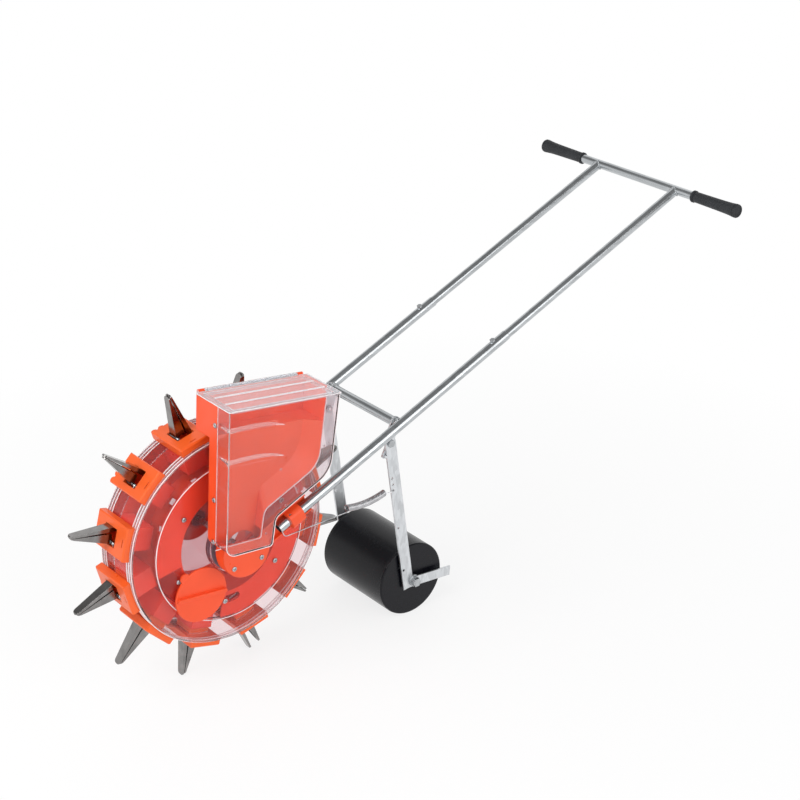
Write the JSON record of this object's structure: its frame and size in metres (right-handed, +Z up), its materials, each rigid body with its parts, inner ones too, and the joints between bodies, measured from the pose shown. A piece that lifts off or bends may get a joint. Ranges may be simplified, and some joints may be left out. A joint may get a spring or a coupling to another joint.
{
  "type": "walk-behind seed planter",
  "caption": "Hand-pushed seed planter: a clear drum wheel ringed with beak-shaped openers, a seed hopper at its side, a sprung press roller behind and a long cross-bar handle.",
  "frame": {"origin": "on the ground, under the middle of the whole machine", "axes": "+X forward, the way the machine is pushed; +Y to the hopper side; +Z up"},
  "size_m": [1.375, 0.55, 0.7608],
  "materials": {
    "orange_plastic": "moulded, glossy",
    "red_plastic": "moulded, glossy, deeper than the orange pieces",
    "clear_plastic": "clear moulding",
    "galvanised_tube": "smooth zinc coat",
    "zinc_plate": "flat bar with a dull zinc coat",
    "polished_steel": "polished bent sheet",
    "fastener_steel": "zinc plated",
    "spring_steel": "bright wire",
    "bearing_plastic": "plain",
    "grip_rubber": "soft, matt",
    "gasket_rubber": "matt",
    "roller_black": "satin black"
  },
  "bodies": {
    "frame": {"handlebar": "galvanised_tube", "left_grip": "grip_rubber", "right_grip": "grip_rubber", "left_upper_tube": "galvanised_tube", "right_upper_tube": "galvanised_tube", "left_lower_tube": "galvanised_tube", "right_lower_tube": "galvanised_tube", "tube_joint_bolts": "fastener_steel", "cross_tube": "galvanised_tube", "pivot_lugs": "zinc_plate", "arm_pivot_bolts": "fastener_steel", "left_tube_clamp": "orange_plastic", "right_tube_clamp": "orange_plastic", "clamp_bolts": "fastener_steel", "far_hub_plate": "orange_plastic", "axle": "fastener_steel", "axle_nuts": "fastener_steel", "feed_spout": "red_plastic", "hopper_back_shell": "orange_plastic", "hopper_front_shell": "clear_plastic", "hopper_screws": "fastener_steel", "lid_hinge_pin": "fastener_steel", "left_tension_spring": "spring_steel", "right_tension_spring": "spring_steel"},
    "wheel": {"near_disc": "clear_plastic", "far_disc": "clear_plastic", "near_bearing": "bearing_plastic", "far_bearing": "bearing_plastic", "seed_ring": "orange_plastic", "seed_chutes": "red_plastic", "drum_screws": "fastener_steel", "opener_bases": "orange_plastic", "fixed_jaws": "polished_steel", "jaw_hinge_pins": "fastener_steel", "jaw_springs": "spring_steel"},
    "lid": {"hopper_lid": "clear_plastic"},
    "cap": {"cleanout_cap": "orange_plastic", "cap_gasket": "gasket_rubber"},
    "roller_arms": {"left_roller_arm": "zinc_plate", "right_roller_arm": "zinc_plate", "roller_axle": "fastener_steel", "roller_axle_nuts": "fastener_steel", "scraper_arms": "zinc_plate", "scraper_blade": "zinc_plate"},
    "roller": {"roller_drum": "roller_black", "roller_end_caps": "roller_black", "roller_bushes": "bearing_plastic"},
    "jaw_01": {"moving_jaw_01": "polished_steel"},
    "jaw_02": {"moving_jaw_02": "polished_steel"},
    "jaw_03": {"moving_jaw_03": "polished_steel"},
    "jaw_04": {"moving_jaw_04": "polished_steel"},
    "jaw_05": {"moving_jaw_05": "polished_steel"},
    "jaw_06": {"moving_jaw_06": "polished_steel"},
    "jaw_07": {"moving_jaw_07": "polished_steel"},
    "jaw_08": {"moving_jaw_08": "polished_steel"},
    "jaw_09": {"moving_jaw_09": "polished_steel"},
    "jaw_10": {"moving_jaw_10": "polished_steel"},
    "jaw_11": {"moving_jaw_11": "polished_steel"},
    "jaw_12": {"moving_jaw_12": "polished_steel"}
  },
  "joints": [
    {"name": "wheel_spin", "type": "hinge", "parent": "frame", "child": "wheel", "pos_m": [0.39765, 0, 0.2899], "axis": [0, 1, 0], "continuous": true},
    {"name": "lid_hinge", "type": "hinge", "parent": "frame", "child": "lid", "pos_m": [0.33033, 0.0476, 0.57915], "axis": [0.9925, 0, 0.1219], "range_deg": [0, 105]},
    {"name": "cap_turn", "type": "hinge", "parent": "wheel", "child": "cap", "pos_m": [0.46909, 0.066, 0.20625], "axis": [0, 1, 0], "range_deg": [0, 60]},
    {"name": "jaw_01_swing", "type": "hinge", "parent": "wheel", "child": "jaw_01", "pos_m": [0.35434, 0, 0.49984], "axis": [0, 1, 0], "range_deg": [0, 18], "stiffness_Nm_per_rad": 0.4, "springref_deg": -17.19},
    {"name": "jaw_02_swing", "type": "hinge", "parent": "wheel", "child": "jaw_02", "pos_m": [0.46511, 0, 0.49337], "axis": [0, 1, 0], "range_deg": [0, 18], "stiffness_Nm_per_rad": 0.4, "springref_deg": -17.19},
    {"name": "jaw_03_swing", "type": "hinge", "parent": "wheel", "child": "jaw_03", "pos_m": [0.55781, 0, 0.43238], "axis": [0, 1, 0], "range_deg": [0, 18], "stiffness_Nm_per_rad": 0.4, "springref_deg": -17.19},
    {"name": "jaw_04_swing", "type": "hinge", "parent": "wheel", "child": "jaw_04", "pos_m": [0.60759, 0, 0.33321], "axis": [0, 1, 0], "range_deg": [0, 18], "stiffness_Nm_per_rad": 0.4, "springref_deg": -17.19},
    {"name": "jaw_05_swing", "type": "hinge", "parent": "wheel", "child": "jaw_05", "pos_m": [0.60112, 0, 0.22244], "axis": [0, 1, 0], "range_deg": [0, 18], "stiffness_Nm_per_rad": 0.4, "springref_deg": -17.19},
    {"name": "jaw_06_swing", "type": "hinge", "parent": "wheel", "child": "jaw_06", "pos_m": [0.54013, 0, 0.12974], "axis": [0, 1, 0], "range_deg": [0, 18], "stiffness_Nm_per_rad": 0.4, "springref_deg": -17.19},
    {"name": "jaw_07_swing", "type": "hinge", "parent": "wheel", "child": "jaw_07", "pos_m": [0.44096, 0, 0.07995], "axis": [0, 1, 0], "range_deg": [0, 18], "stiffness_Nm_per_rad": 0.4, "springref_deg": -17.19},
    {"name": "jaw_08_swing", "type": "hinge", "parent": "wheel", "child": "jaw_08", "pos_m": [0.33019, 0, 0.08642], "axis": [0, 1, 0], "range_deg": [-13, 5]},
    {"name": "jaw_09_swing", "type": "hinge", "parent": "wheel", "child": "jaw_09", "pos_m": [0.23749, 0, 0.14741], "axis": [0, 1, 0], "range_deg": [0, 18], "stiffness_Nm_per_rad": 0.4, "springref_deg": -17.19},
    {"name": "jaw_10_swing", "type": "hinge", "parent": "wheel", "child": "jaw_10", "pos_m": [0.18771, 0, 0.24658], "axis": [0, 1, 0], "range_deg": [0, 18], "stiffness_Nm_per_rad": 0.4, "springref_deg": -17.19},
    {"name": "jaw_11_swing", "type": "hinge", "parent": "wheel", "child": "jaw_11", "pos_m": [0.19418, 0, 0.35736], "axis": [0, 1, 0], "range_deg": [0, 18], "stiffness_Nm_per_rad": 0.4, "springref_deg": -17.19},
    {"name": "jaw_12_swing", "type": "hinge", "parent": "wheel", "child": "jaw_12", "pos_m": [0.25517, 0, 0.45006], "axis": [0, 1, 0], "range_deg": [0, 18], "stiffness_Nm_per_rad": 0.4, "springref_deg": -17.19},
    {"name": "roller_swing", "type": "hinge", "parent": "frame", "child": "roller_arms", "pos_m": [0.05565, 0, 0.3959], "axis": [0, 1, 0], "range_deg": [0, 20], "stiffness_Nm_per_rad": 25, "springref_deg": -17.19, "deforming": ["left_tension_spring", "right_tension_spring"]},
    {"name": "roller_spin", "type": "hinge", "parent": "roller_arms", "child": "roller", "pos_m": [-0.00435, 0, 0.076], "axis": [0, 1, 0], "continuous": true}
  ]
}
